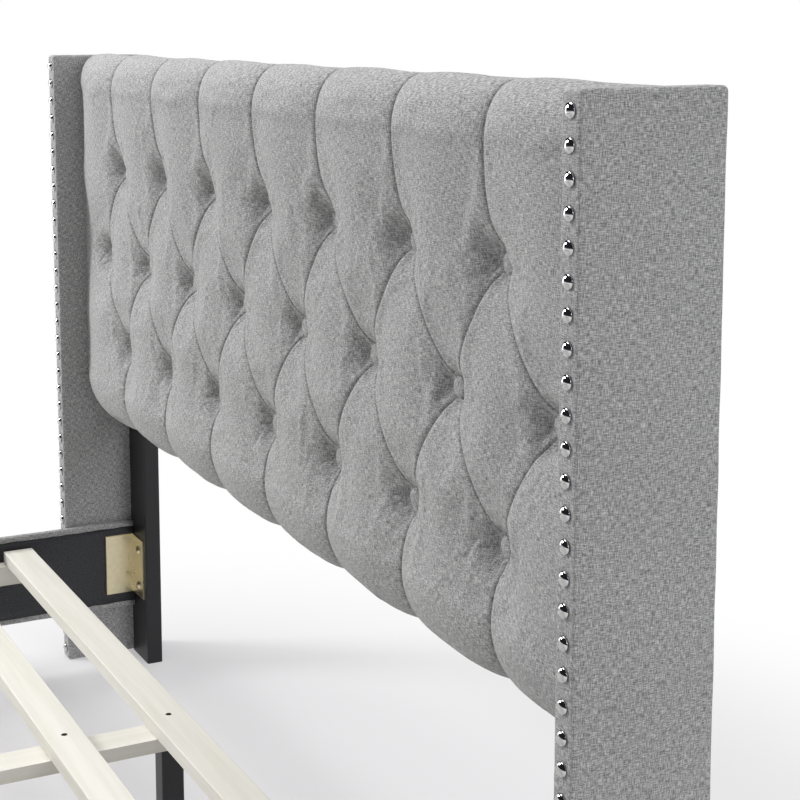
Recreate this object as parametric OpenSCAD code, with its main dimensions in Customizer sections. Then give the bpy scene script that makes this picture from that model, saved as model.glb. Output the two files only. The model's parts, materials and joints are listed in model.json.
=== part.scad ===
// Upholstered bed with a button-tufted winged headboard.
// Millimetres, +Z up. X runs across the bed, +Y runs from the foot to the head.
// The origin is on the floor, under the middle of the bed.

/* [Bed] */
// Width over the two wings
bed_w = 1640; // [1440:10:1900]
// Length from the back of the wings to the front of the footboard
bed_l = 2190; // [2150:10:2290]
// Height of the headboard
head_h = 1060; // [1000:10:1200]

/* [Wings] */
// Thickness of a covered wing
wing_t = 30; // [26:1:40]
// Depth of a wing from back to front
wing_d = 155; // [145:5:200]
// Thickness of the fabric and wadding on a wing
wing_skin = 3; // [2:0.5:4]
// Nails down the front edge of a wing
nail_count = 36; // [12:1:40]
// Diameter of a nail's domed head
nail_d = 15; // [10:0.5:16]

/* [Tufted panel] */
// Height of the panel's lower edge above the floor
panel_low = 443; // [400:1:455]
// Depth from the back of the wings to the flat of the panel's front
panel_front = 112; // [105:1:120]
// Columns of tufts across the panel
tuft_cols = 8; // [7:1:10]
// Rows of buttons
button_rows = 3; // [2:1:3]
// Distance from the headboard's top down to the first row of buttons
first_row_drop = 180; // [160:5:200]
// Distance between rows of buttons
row_gap = 145; // [125:1:150]
// Diameter of a covered button
button_d = 24; // [18:1:30]

/* [Legs] */
// Width of a corner leg across the bed
leg_w = 81; // [70:1:100]
// Thickness of a corner leg along the bed
leg_t = 27; // [22:1:30]
// Height of the headboard's legs
head_leg_h = 960; // [920:10:980]
// Side of a square centre leg
centre_leg_w = 30; // [25:1:40]

/* [Rails] */
// Height of the rails' top edge above the floor
rail_top = 241; // [236:1:250]
// Height of the rails' lower edge above the floor
rail_low = 86.5; // [80:0.5:95]
// Thickness of a covered rail
rail_t = 13; // [12:0.5:18]
// Thickness of the covered footboard
foot_t = 24; // [20:1:30]

/* [Slats] */
// Number of slats
slat_count = 14; // [12:1:14]
// Width of a slat
slat_w = 49; // [40:1:60]
// Thickness of a slat
slat_t = 20; // [15:1:20]
// Distance between slats, centre to centre
slat_pitch = 139; // [134:0.5:139]
// Height of the ledgers' top, on which the slats lie
ledger_top = 199; // [195:1:199]

/* [Hidden] */

$fn = 48;
eps = 0.01;                 // overshoot of a cut past the face it opens
fit = 0.3;                  // gap left between a covering and what it wraps
head_y = bed_l / 2;         // back of the wings
foot_y = -bed_l / 2;        // front of the footboard
inner_x = bed_w / 2 - wing_t;

// Headboard panel, measured from the back of the wings towards the foot
leg_back = 9.5;
panel_back = leg_back + leg_t;
lining_t = 1;
frame_back = panel_back + lining_t;
frame_t = 20;
board_back = frame_back + frame_t;
board_t = 6;
foam_back = board_back + board_t;
skin_t = 2.5;
top_round = 30;
low_round = 60;
frame_top = head_h - skin_t - 6;
frame_low = panel_low + skin_t + 4;
frame_w = 60;
frame_half = inner_x - skin_t - 2;

// Tufting
tuft_pitch = 2 * inner_x / tuft_cols;
seat_depth = 84;            // where a button's back lies
dimple_r = 46;
button_rise = 5;
tie_d = 3;
tie_hole_d = 5;

// Corner hardware
plate_t = 2;
rail_leaf = 50;
leg_leaf = 56;
plate_low = 112.5;
plate_h = 105;
bolt_in = 45;               // bolt's distance from the rail's outer face
bolt_zs = [132.5, 196];
bolt_d = 8;
bolt_hole_d = 8.6;
bolt_head_d = 16;
bolt_head_rise = 5;
nut_flange_d = 20;
nut_flange_t = 1.5;
nut_barrel_d = 10;
nut_barrel_l = 10;
screw_d = 4;
screw_head_d = 8;
screw_head_t = 2;
screw_hole_d = 4.4;
plate_screw_l = 10;
plate_screw_ys = [15, 35];  // from the leg's face
plate_screw_zs = [20, 85];  // above the plate's lower edge

// Rails
cloth_t = 1.5;
lip_h = 9;
rail_face = inner_x - rail_t;             // inner face of a rail's folded cover
board_face = rail_face + cloth_t;         // inner face of a rail's board
rail_head_y = head_y - panel_back;
rail_foot_y = foot_y + foot_t;
foot_leg_x = rail_face - fit;             // outer face of a footboard leg
foot_leg_y = rail_foot_y + leg_t;         // inner face of a footboard leg
ledger_w = 25;
ledger_h = 33;
edge_r = 3;

// Slats and centre beam
slat_half = rail_face - 5;
slat_top = ledger_top + slat_t;
first_slat_y = head_y - 243.5;
last_slat_y = first_slat_y - (slat_count - 1) * slat_pitch;
ledger_head_y = first_slat_y + 15;
ledger_foot_y = last_slat_y - 15;
beam_w = 50;
beam_t = 18;
slat_screw_l = 34;
foot_leg_h = slat_top - 1;

// Bolts that join the headboard
leg_bolt_zs = [530, 705, 880];
wing_bolt_zs = [560, 740, 920];
leg_bolt_l = leg_t + 16;
wing_bolt_l = leg_w + 20;
foot_bolt_x = foot_leg_x - leg_w + 16;
foot_bolt_zs = [110, 205];
upright_xs = [-2.25, -0.75, 0.75, 2.25] * tuft_pitch;   // clear of every button
nail_margin = 19;

function slat_name(i) = str("slat_", i < 10 ? "0" : "", i);
function slat_y(i) = first_slat_y - (i - 1) * slat_pitch;

// Buttons: odd rows sit between columns, even rows on the columns' centres
function row_z(row) = head_h - first_row_drop - row * row_gap;
function row_xs(row) = row % 2 == 0
    ? [for (i = [1 : tuft_cols - 1]) (i - tuft_cols / 2) * tuft_pitch]
    : [for (i = [0 : tuft_cols - 1]) (i - (tuft_cols - 1) / 2) * tuft_pitch];
button_spots = [for (row = [0 : button_rows - 1]) for (x = row_xs(row)) [x, row_z(row)]];

// ---- shared shapes ----

// A box given by its two opposite corners
module block(low, high) {
    translate(low) cube(high - low);
}

// Places children at each side of the bed: side is -1 on the left, 1 on the right
module on_side(side) {
    mirror([side < 0 ? 1 : 0, 0, 0]) children();
}

// Places its children at a point, their +Z turned towards the foot of the bed
module towards_foot(at) {
    translate(at) rotate([90, 0, 0]) children();
}

module towards_head(at) {
    translate(at) rotate([-90, 0, 0]) children();
}

module outwards(at) {
    translate(at) rotate([0, 90, 0]) children();
}

// A low dome on a round base
module dome(d, rise) {
    ball_r = (d * d / 4 + rise * rise) / (2 * rise);
    intersection() {
        translate([0, 0, rise - ball_r]) sphere(r = ball_r);
        cylinder(d = d, h = 2 * rise);
    }
}

// A bar along X with its four long edges rounded; section is [along Y, along Z]
module rounded_bar(length, section, r) {
    rotate([90, 0, 90]) linear_extrude(length) rounded_square(section, r);
}

module rounded_square(size, r) {
    translate([r, 0]) square([size.x - 2 * r, size.y]);
    translate([0, r]) square([size.x, size.y - 2 * r]);
    for (x = [r, size.x - r], y = [r, size.y - r]) translate([x, y]) circle(r);
}

// An upright post with rounded corners; size is [across, along, up]
module post(size, r) {
    linear_extrude(size.z) rounded_square([size.x, size.y], r);
}

// A bolt with a domed head; the shank runs along -Z from the head's seat
module domed_bolt(length) {
    dome(bolt_head_d, bolt_head_rise);
    translate([0, 0, -length]) cylinder(d = bolt_d, h = length + 1);
}

// A countersunk screw; its head is flush with Z = 0 and the shank runs along -Z
module flat_screw(length) {
    translate([0, 0, -screw_head_t]) cylinder(d1 = screw_d, d2 = screw_head_d, h = screw_head_t);
    translate([0, 0, -length]) cylinder(d = screw_d, h = length - screw_head_t + eps);
}

// The hole that a flat screw lies in
module screw_hole(length) {
    translate([0, 0, -screw_head_t])
        cylinder(d1 = screw_hole_d, d2 = screw_head_d + 0.4, h = screw_head_t + eps);
    translate([0, 0, -length]) cylinder(d = screw_hole_d, h = length);
}

// ---- headboard panel ----

// The panel's side outline: x is the depth from the back, y is the height
module panel_outline(inset, back) {
    front = panel_front - inset;
    top = head_h - inset;
    low = panel_low + inset;
    r_top = top_round - inset;
    r_low = low_round - inset;
    intersection() {
        translate([back, low]) square([front - back, top - low]);
        union() {
            translate([back, low + r_low]) square([front - back, top - low - r_low - r_top]);
            translate([back, top - r_top - 1]) square([front - r_top - back, r_top + 1]);
            translate([front - r_low, low + r_low]) circle(r_low, $fn = 96);
            translate([front - r_top, top - r_top]) circle(r_top, $fn = 96);
        }
    }
}

// The solid inside the panel's outline, with a dimple at each button
module panel_body(inset, half_width, back) {
    seat = seat_depth - inset;
    reach = panel_front - seat + 2;
    difference() {
        translate([-half_width, head_y, 0]) mirror([0, 1, 0]) rotate([90, 0, 90])
            linear_extrude(2 * half_width) panel_outline(inset, back);
        for (spot = button_spots)
            towards_foot([spot.x, head_y - seat, spot.y])
                cylinder(r1 = button_d / 2 + 1.5 + inset, r2 = dimple_r + inset, h = reach);
    }
}

// Holes for the ties, through whatever lies between two depths
module tie_holes(from_depth, to_depth) {
    for (spot = button_spots)
        towards_foot([spot.x, head_y - from_depth, spot.y])
            cylinder(d = tie_hole_d, h = to_depth - from_depth);
}

module frame_member(x_low, x_high, z_low, z_high) {
    color("burlywood")
        block([x_low, head_y - board_back, z_low], [x_high, head_y - frame_back, z_high]);
}

module headboard_top_rail() {
    frame_member(-frame_half, frame_half, frame_top - frame_w, frame_top);
}

module headboard_bottom_rail() {
    frame_member(-frame_half, frame_half, frame_low, frame_low + frame_w);
}

// End stile, drilled for the bolts that hold the leg behind it
module headboard_stile(side) {
    on_side(side) difference() {
        frame_member(frame_half - leg_w, frame_half, frame_low + frame_w, frame_top - frame_w);
        for (z = leg_bolt_zs)
            towards_head([inner_x - leg_w / 2, head_y - board_back - eps, z])
                cylinder(d = bolt_hole_d, h = frame_t + 2 * eps);
    }
}

module headboard_uprights() {
    for (x = upright_xs)
        frame_member(x - frame_w / 2, x + frame_w / 2, frame_low + frame_w, frame_top - frame_w);
}

// Thin board that the foam is glued to, drilled for the button ties
module headboard_board() {
    color("burlywood") difference() {
        block([-frame_half, head_y - foam_back, frame_low], [frame_half, head_y - board_back, frame_top]);
        tie_holes(board_back - 1, foam_back + 1);
    }
}

module headboard_foam() {
    color("lightyellow") difference() {
        panel_body(skin_t + fit, frame_half, foam_back + fit);
        tie_holes(foam_back - 1, panel_front);
    }
}

// Fabric over the front and the four edges of the panel, open at the back
module headboard_cover() {
    color("darkgray") difference() {
        panel_body(0, inner_x - fit, frame_back);
        panel_body(skin_t, inner_x - fit - skin_t, frame_back - 1);
        tie_holes(panel_back, panel_front);
    }
}

module headboard_back_cover() {
    color("dimgray") difference() {
        block([-inner_x + fit, head_y - frame_back, panel_low + 2],
              [inner_x - fit, head_y - panel_back, head_h - 4]);
        for (side = [-1, 1], z = leg_bolt_zs)
            towards_head([side * (inner_x - leg_w / 2), head_y - frame_back - eps, z])
                cylinder(d = bolt_hole_d, h = lining_t + 2 * eps);
    }
}

module tuft_buttons() {
    color("darkgray") for (spot = button_spots)
        towards_foot([spot.x, head_y - seat_depth, spot.y]) dome(button_d, button_rise);
}

// Twine from each button back through the foam to the board, with its knot
module tuft_ties() {
    color("linen") for (spot = button_spots)
        towards_foot([spot.x, head_y - board_back + 2, spot.y]) {
            cylinder(d = tie_d, h = seat_depth - board_back + 2);
            cylinder(d = tie_hole_d + 3, h = 2);
        }
}

// ---- wings ----

module wing_board(side) {
    color("tan") on_side(side) difference() {
        block([inner_x + wing_skin + fit, head_y - wing_d + wing_skin + fit, 2],
              [bed_w / 2 - wing_skin - fit, head_y - wing_skin - fit, head_h - wing_skin - fit]);
        for (z = wing_bolt_zs)
            outwards([inner_x, head_y - leg_back - leg_t / 2, z])
                cylinder(d = bolt_hole_d, h = wing_bolt_l - leg_w + 1);
    }
}

// Fabric sleeve over a wing, closed at the top
module wing_cover(side) {
    color("darkgray") on_side(side) difference() {
        translate([inner_x, head_y - wing_d, 0]) post([wing_t, wing_d, head_h], edge_r);
        block([inner_x + wing_skin, head_y - wing_d + wing_skin, -1],
              [bed_w / 2 - wing_skin, head_y - wing_skin, head_h - wing_skin]);
        for (z = wing_bolt_zs)
            outwards([inner_x - 1, head_y - leg_back - leg_t / 2, z])
                cylinder(d = bolt_hole_d, h = wing_skin + 2);
    }
}

module wing_nails(side) {
    gap = (head_h - 2 * nail_margin) / (nail_count - 1);
    color("gainsboro") for (i = [0 : nail_count - 1])
        towards_foot([side * (bed_w - wing_t) / 2, head_y - wing_d, nail_margin + i * gap])
            dome(nail_d, nail_d / 3);
}

// ---- headboard legs and their bolts ----

module headboard_leg(side) {
    mid_x = inner_x - leg_w / 2;
    color("#2b2b2f") on_side(side) difference() {
        translate([inner_x - leg_w, head_y - panel_back, 0]) post([leg_w, leg_t, head_leg_h], edge_r);
        for (z = leg_bolt_zs)
            towards_head([mid_x, head_y - panel_back - 1, z]) cylinder(d = bolt_hole_d, h = leg_t + 2);
        for (z = wing_bolt_zs)
            outwards([inner_x - leg_w - 1, head_y - leg_back - leg_t / 2, z])
                cylinder(d = bolt_hole_d, h = leg_w + 2);
        for (z = bolt_zs) nut_hole([inner_x - bolt_in, head_y - leg_back, z]);
    }
}

// Bolts through the headboard's legs into its stiles, and the footboard's legs into its board
module leg_bolts() {
    color("silver") for (side = [-1, 1]) {
        for (z = leg_bolt_zs)
            towards_head([side * (inner_x - leg_w / 2), head_y - leg_back, z]) domed_bolt(leg_bolt_l);
        for (z = foot_bolt_zs)
            towards_head([side * foot_bolt_x, foot_leg_y, z]) domed_bolt(leg_bolt_l);
    }
}

// Long bolts from the inner side of each headboard leg into the wing beside it
module wing_bolts() {
    color("silver") for (side = [-1, 1], z = wing_bolt_zs) on_side(side)
        translate([inner_x - leg_w, head_y - leg_back - leg_t / 2, z]) rotate([0, -90, 0])
            domed_bolt(wing_bolt_l);
}

// ---- side rails ----

module rail_board(side) {
    color("tan") on_side(side) difference() {
        block([board_face, rail_foot_y + cloth_t, rail_low + cloth_t],
              [inner_x - cloth_t, rail_head_y - cloth_t, rail_top - cloth_t]);
        plate_screw_spots() outwards([board_face - 1, 0, 0]) cylinder(d = screw_hole_d, h = plate_screw_l);
    }
}

// Fabric over the rail's outer face, folded round its edges onto the inner face
module rail_cover(side) {
    color("darkgray") on_side(side) difference() {
        block([rail_face, rail_foot_y, rail_low], [inner_x, rail_head_y, rail_top]);
        block([board_face, rail_foot_y + cloth_t, rail_low + cloth_t],
              [inner_x - cloth_t, rail_head_y - cloth_t, rail_top - cloth_t]);
        block([rail_face - 1, rail_foot_y - 1, rail_low + lip_h],
              [board_face + eps, rail_head_y + 1, rail_top - lip_h]);
    }
}

// Black lining between the folds, cut away where the corner plates lie
module rail_liner(side) {
    plate_ends = [[rail_head_y - rail_leaf, rail_head_y], [foot_leg_y, foot_leg_y + rail_leaf]];
    color("#3c3e42") on_side(side) difference() {
        block([rail_face + fit, rail_foot_y, rail_low + lip_h + fit],
              [board_face, rail_head_y, rail_top - lip_h - fit]);
        for (ends = plate_ends)
            block([rail_face - 1, ends[0] - fit, plate_low - fit],
                  [board_face + 1, ends[1] + fit, plate_low + plate_h + fit]);
    }
}

module ledger(side) {
    color("wheat") on_side(side)
        block([rail_face + fit - ledger_w, ledger_foot_y, ledger_top - ledger_h],
              [rail_face + fit, ledger_head_y, ledger_top]);
}

// ---- corner plates ----

// Runs children at each plate screw's place on the right rail, for both ends of the bed
module plate_screw_spots() {
    for (y = plate_screw_ys, z = plate_screw_zs) {
        translate([0, rail_head_y - y, plate_low + z]) children();
        translate([0, foot_leg_y + y, plate_low + z]) children();
    }
}

// Folded steel plate: one leaf on the rail, one on the leg.
// The leg's face is at leg_y, and away is the direction in which the plate lies from it.
module bracket(side, leg_y, away) {
    color("#d8cfaa") on_side(side) difference() {
        union() {
            translate([board_face - plate_t, min(leg_y, leg_y + away * rail_leaf), plate_low])
                cube([plate_t, rail_leaf, plate_h]);
            translate([board_face - leg_leaf, min(leg_y, leg_y + away * plate_t), plate_low])
                cube([leg_leaf, plate_t, plate_h]);
        }
        plate_screw_spots() outwards([board_face - plate_t, 0, 0]) mirror([0, 0, 1]) screw_hole(plate_t + 1);
        for (z = bolt_zs)
            towards_head([inner_x - bolt_in, leg_y - 5, z]) cylinder(d = bolt_hole_d, h = 10);
    }
}

module bracket_screws() {
    color("silver") for (side = [-1, 1]) on_side(side)
        plate_screw_spots() outwards([board_face - plate_t, 0, 0]) mirror([0, 0, 1])
            flat_screw(plate_screw_l);
}

module bracket_bolts() {
    color("silver") for (side = [-1, 1], z = bolt_zs) {
        towards_foot([side * (inner_x - bolt_in), rail_head_y - plate_t, z]) domed_bolt(leg_t);
        towards_head([side * (inner_x - bolt_in), foot_leg_y + plate_t, z]) domed_bolt(leg_t);
    }
}

// A flanged nut pressed into the leg from its back; the flange is flush at Z = 0
module flanged_nut() {
    difference() {
        union() {
            cylinder(d = nut_flange_d, h = nut_flange_t);
            cylinder(d = nut_barrel_d, h = nut_barrel_l);
        }
        translate([0, 0, -1]) cylinder(d = bolt_hole_d, h = nut_barrel_l + 2);
    }
}

module bracket_nuts() {
    color("silver") for (side = [-1, 1], z = bolt_zs) {
        towards_foot([side * (inner_x - bolt_in), head_y - leg_back, z]) flanged_nut();
        towards_head([side * (inner_x - bolt_in), rail_foot_y, z]) flanged_nut();
    }
}

// The stepped hole for a bolt and its nut, through a leg whose back face holds the point
module nut_hole(at) {
    towards_foot(at) {
        translate([0, 0, -1]) cylinder(d = bolt_hole_d, h = leg_t + 2);
        translate([0, 0, -1]) cylinder(d = nut_barrel_d + 0.2, h = nut_barrel_l + 1.2);
        translate([0, 0, -1]) cylinder(d = nut_flange_d + 0.4, h = nut_flange_t + 1.2);
    }
}

// ---- footboard ----

module footboard_board() {
    color("tan") difference() {
        block([-inner_x + cloth_t, foot_y + cloth_t, rail_low + cloth_t],
              [inner_x - cloth_t, rail_foot_y - cloth_t, rail_top - cloth_t]);
        for (side = [-1, 1], z = foot_bolt_zs)
            towards_foot([side * foot_bolt_x, rail_foot_y, z])
                cylinder(d = bolt_hole_d, h = leg_bolt_l - leg_t + 1);
    }
}

module footboard_cover() {
    color("darkgray") difference() {
        translate([-inner_x, foot_y, rail_low])
            rounded_bar(2 * inner_x, [foot_t, rail_top - rail_low], cloth_t);
        block([-inner_x + cloth_t, foot_y + cloth_t, rail_low + cloth_t],
              [inner_x - cloth_t, rail_foot_y - cloth_t, rail_top - cloth_t]);
        block([-inner_x + lip_h, rail_foot_y - cloth_t - eps, rail_low + lip_h],
              [inner_x - lip_h, rail_foot_y + 1, rail_top - lip_h]);
    }
}

module footboard_liner() {
    color("#3c3e42") difference() {
        block([-inner_x + lip_h + fit, rail_foot_y - cloth_t, rail_low + lip_h + fit],
              [inner_x - lip_h - fit, rail_foot_y - fit, rail_top - lip_h - fit]);
        for (side = [-1, 1], z = foot_bolt_zs)
            towards_foot([side * foot_bolt_x, rail_foot_y + 1, z])
                cylinder(d = bolt_hole_d, h = cloth_t + 2);
    }
}

module footboard_leg(side) {
    color("#2b2b2f") on_side(side) difference() {
        translate([foot_leg_x - leg_w, rail_foot_y, 0]) post([leg_w, leg_t, foot_leg_h], edge_r);
        for (z = foot_bolt_zs)
            towards_head([foot_bolt_x, rail_foot_y - 1, z])
                cylinder(d = bolt_hole_d, h = leg_t + 2);
        mirror([0, 1, 0])
            for (z = bolt_zs) nut_hole([inner_x - bolt_in, -rail_foot_y, z]);
    }
}

// ---- slats and centre beam ----

module slat(i) {
    color("wheat") difference() {
        translate([-slat_half, slat_y(i) - slat_w / 2, ledger_top])
            rounded_bar(2 * slat_half, [slat_w, slat_t], 1.5);
        translate([0, slat_y(i), slat_top]) screw_hole(slat_t + 1);
    }
}

module centre_beam() {
    color("wheat") difference() {
        block([-beam_w / 2, last_slat_y - 12, ledger_top - beam_t],
              [beam_w / 2, first_slat_y + 12, ledger_top]);
        for (i = [1 : slat_count])
            translate([0, slat_y(i), ledger_top + eps]) mirror([0, 0, 1])
                cylinder(d = screw_hole_d, h = slat_screw_l - slat_t + 1);
    }
}

module centre_leg(y) {
    color("#2b2b2f") translate([-centre_leg_w / 2, y - centre_leg_w / 2, 0])
        post([centre_leg_w, centre_leg_w, ledger_top - beam_t], edge_r);
}

module slat_screws() {
    color("#3a3733") for (i = [1 : slat_count])
        translate([0, slat_y(i), slat_top]) flat_screw(slat_screw_l);
}

// ---- the assembly ----

headboard_top_rail();
headboard_bottom_rail();
headboard_stile(-1);  // headboard_stile_left
headboard_stile(1);  // headboard_stile_right
headboard_uprights();
headboard_board();
headboard_foam();
headboard_cover();
headboard_back_cover();
tuft_buttons();
tuft_ties();
headboard_leg(-1);  // headboard_leg_left
headboard_leg(1);  // headboard_leg_right
leg_bolts();
wing_bolts();
wing_board(-1);  // wing_board_left
wing_board(1);  // wing_board_right
wing_cover(-1);  // wing_cover_left
wing_cover(1);  // wing_cover_right
wing_nails(-1);  // wing_nails_left
wing_nails(1);  // wing_nails_right
rail_board(-1);  // rail_board_left
rail_board(1);  // rail_board_right
rail_cover(-1);  // rail_cover_left
rail_cover(1);  // rail_cover_right
rail_liner(-1);  // rail_liner_left
rail_liner(1);  // rail_liner_right
ledger(-1);  // ledger_left
ledger(1);  // ledger_right
bracket(-1, rail_head_y, -1);  // bracket_head_left
bracket(1, rail_head_y, -1);  // bracket_head_right
bracket(-1, foot_leg_y, 1);  // bracket_foot_left
bracket(1, foot_leg_y, 1);  // bracket_foot_right
bracket_screws();
bracket_bolts();
bracket_nuts();
footboard_board();
footboard_cover();
footboard_liner();
footboard_leg(-1);  // footboard_leg_left
footboard_leg(1);  // footboard_leg_right
centre_beam();
centre_leg(first_slat_y);  // centre_leg_head
centre_leg((first_slat_y + last_slat_y) / 2);  // centre_leg_middle
centre_leg(last_slat_y);  // centre_leg_foot
slat_screws();
for (i = [1 : slat_count]) slat(i);
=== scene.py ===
import json
import math

import bmesh
import bpy
import numpy as np
from mathutils import Euler, Matrix, Vector


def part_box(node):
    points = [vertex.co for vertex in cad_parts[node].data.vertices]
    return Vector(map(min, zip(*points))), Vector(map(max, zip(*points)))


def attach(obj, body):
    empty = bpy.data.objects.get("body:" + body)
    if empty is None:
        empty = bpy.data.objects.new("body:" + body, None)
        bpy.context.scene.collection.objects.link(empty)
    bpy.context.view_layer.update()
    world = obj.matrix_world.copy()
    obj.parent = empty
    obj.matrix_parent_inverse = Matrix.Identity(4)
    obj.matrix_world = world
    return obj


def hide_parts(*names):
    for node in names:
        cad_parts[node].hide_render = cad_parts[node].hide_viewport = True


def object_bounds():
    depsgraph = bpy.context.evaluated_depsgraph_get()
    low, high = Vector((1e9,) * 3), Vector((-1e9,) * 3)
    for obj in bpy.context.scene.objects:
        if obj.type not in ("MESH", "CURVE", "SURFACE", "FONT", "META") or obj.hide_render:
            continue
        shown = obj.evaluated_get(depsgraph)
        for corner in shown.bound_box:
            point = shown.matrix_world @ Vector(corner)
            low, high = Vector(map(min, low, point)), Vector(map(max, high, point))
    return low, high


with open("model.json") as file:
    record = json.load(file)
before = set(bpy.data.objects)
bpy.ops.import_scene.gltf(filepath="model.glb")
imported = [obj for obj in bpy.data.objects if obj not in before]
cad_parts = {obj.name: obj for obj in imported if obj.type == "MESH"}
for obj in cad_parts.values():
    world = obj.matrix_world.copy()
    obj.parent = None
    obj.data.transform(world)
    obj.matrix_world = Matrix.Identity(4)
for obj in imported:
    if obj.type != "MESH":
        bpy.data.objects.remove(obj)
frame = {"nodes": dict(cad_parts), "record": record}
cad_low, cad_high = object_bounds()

MM = 0.001
ROOT = "root"
X, Y, Z = range(3)
SIDES = ("left", "right")

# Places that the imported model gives
HEAD_Y = cad_high.y                         # back of the wings
INNER_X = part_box("wing_cover_right")[0].x   # inner face of a wing


# ---------------------------------------------------------------- small tools

def link(name, data):
    obj = bpy.data.objects.new(name, data)
    bpy.context.scene.collection.objects.link(obj)
    return obj


def grid_faces(rows, cols, wrap=False):
    """Quads of a grid of points held row by row; wrap joins the last column to the first."""
    r = np.arange(rows - 1)[:, None] * cols
    c = np.arange(cols if wrap else cols - 1)[None, :]
    nxt = (c + 1) % cols
    return np.stack([r + c, r + nxt, r + cols + nxt, r + cols + c], -1).reshape(-1, 4)


def make_mesh(name, verts, *face_groups):
    """A smooth mesh from arrays of points and faces, one array for each number of corners."""
    groups = [np.asarray(g, np.int32) for g in face_groups if len(g)]
    sizes = np.concatenate([np.full(len(g), g.shape[1]) for g in groups])
    corners = np.concatenate([g.ravel() for g in groups])
    starts = np.concatenate([[0], np.cumsum(sizes)[:-1]])
    mesh = bpy.data.meshes.new(name)
    mesh.vertices.add(len(verts))
    mesh.vertices.foreach_set("co", np.asarray(verts, np.float32).ravel())
    mesh.loops.add(len(corners))
    mesh.loops.foreach_set("vertex_index", corners.astype(np.int32))
    mesh.polygons.add(len(sizes))
    mesh.polygons.foreach_set("loop_start", starts.astype(np.int32))
    mesh.polygons.foreach_set("use_smooth", np.ones(len(sizes), bool))
    mesh.update(calc_edges=True)
    mesh.validate()
    return mesh


def mark_seams(mesh, on_seam):
    """Edges between two seam points shade as a sharp fold."""
    pairs = np.empty(len(mesh.edges) * 2, np.int32)
    mesh.edges.foreach_get("vertices", pairs)
    sharp = on_seam[pairs.reshape(-1, 2)].all(1)
    layer = mesh.attributes.get("sharp_edge") or mesh.attributes.new("sharp_edge", "BOOLEAN", "EDGE")
    layer.data.foreach_set("value", sharp)


def thicken(obj, thickness, towards=None, offset=-1):
    """Gives cloth its thickness: on the inner side of its surface, or on both sides for offset 0."""
    if towards is not None:
        faces = obj.data.polygons
        middle = faces[len(faces) // 2]
        if middle.normal.dot(towards - middle.center) > 0:
            obj.data.flip_normals()
    solid = obj.modifiers.new("thickness", "SOLIDIFY")
    solid.thickness = thickness
    solid.offset = offset


def read_points(mesh):
    points = np.empty(len(mesh.vertices) * 3)
    mesh.vertices.foreach_get("co", points)
    return points.reshape(-1, 3)


def write_points(mesh, points):
    mesh.vertices.foreach_set("co", points.ravel())
    mesh.update()


def add_vector(mesh, name, values):
    layer = mesh.attributes.new(name, "FLOAT_VECTOR", "POINT")
    layer.data.foreach_set("vector", np.asarray(values, np.float32).ravel())


def piece(obj, material, replaces=()):
    """Finishes a piece of the bed: its body, material and the nodes it stands for."""
    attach(obj, ROOT)
    if replaces:
        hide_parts(*replaces)
    obj.data.materials.clear()
    obj.data.materials.append(material)
    return obj


def smoothstep(low, high, x):
    t = np.clip((np.asarray(x, float) - low) / (high - low), 0, 1)
    return t * t * (3 - 2 * t)


# ---------------------------------------------------------------- node helpers

class Tree:
    """A short way to write a node tree: each call makes a node and returns its first output."""

    def __init__(self, tree):
        self.tree = tree
        self.nodes = tree.nodes
        self.nodes.clear()

    def put(self, socket, value):
        if isinstance(value, bpy.types.NodeSocket):
            self.tree.links.new(value, socket)
        elif value is not None:
            socket.default_value = value

    def node(self, kind, inputs=(), **settings):
        made = self.nodes.new(kind)
        for key, value in settings.items():
            setattr(made, key, value)
        for key, value in dict(inputs).items():
            self.put(made.inputs[key], value)
        return made

    def object_place(self):
        return self.node("ShaderNodeTexCoord").outputs["Object"]

    def math(self, operation, a, b=None):
        return self.node("ShaderNodeMath", {0: a, 1: b}, operation=operation).outputs[0]

    def blend(self, share, one, other):
        """Share of one value and the rest of the other; share is a number or an output."""
        rest = 1 - share if isinstance(share, float) else self.math("SUBTRACT", 1.0, share)
        return self.math("ADD", self.math("MULTIPLY", share, one), self.math("MULTIPLY", rest, other))

    def noise(self, vector, scale, detail=2.0, rough=0.5, **inputs):
        values = {"Vector": vector, "Scale": scale, "Detail": detail, "Roughness": rough, **inputs}
        return self.node("ShaderNodeTexNoise", values).outputs[0]

    def mapping(self, vector, scale, rotation=(0, 0, 0), location=(0, 0, 0)):
        values = {"Vector": vector, "Scale": scale, "Rotation": rotation, "Location": location}
        return self.node("ShaderNodeMapping", values).outputs[0]

    def ramp(self, value, stops):
        made = self.nodes.new("ShaderNodeValToRGB")
        self.put(made.inputs[0], value)
        elements = made.color_ramp.elements
        while len(elements) < len(stops):
            elements.new(0.5)
        for element, (place, colour) in zip(elements, stops):
            element.position = place
            element.color = (*colour, 1)
        return made.outputs[0]

    def range(self, value, low, high, to_low, to_high):
        values = {0: value, 1: low, 2: high, 3: to_low, 4: to_high}
        return self.node("ShaderNodeMapRange", values).outputs[0]

    def bump(self, height, distance, strength):
        values = {"Height": height, "Distance": distance, "Strength": strength}
        return self.node("ShaderNodeBump", values).outputs[0]


def new_material(name):
    material = bpy.data.materials.new(name)
    material.use_nodes = True
    tree = Tree(material.node_tree)
    shader = tree.node("ShaderNodeBsdfPrincipled")
    out = tree.node("ShaderNodeOutputMaterial")
    tree.tree.links.new(shader.outputs[0], out.inputs[0])
    return material, tree, shader


# ---------------------------------------------------------------- materials

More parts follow.
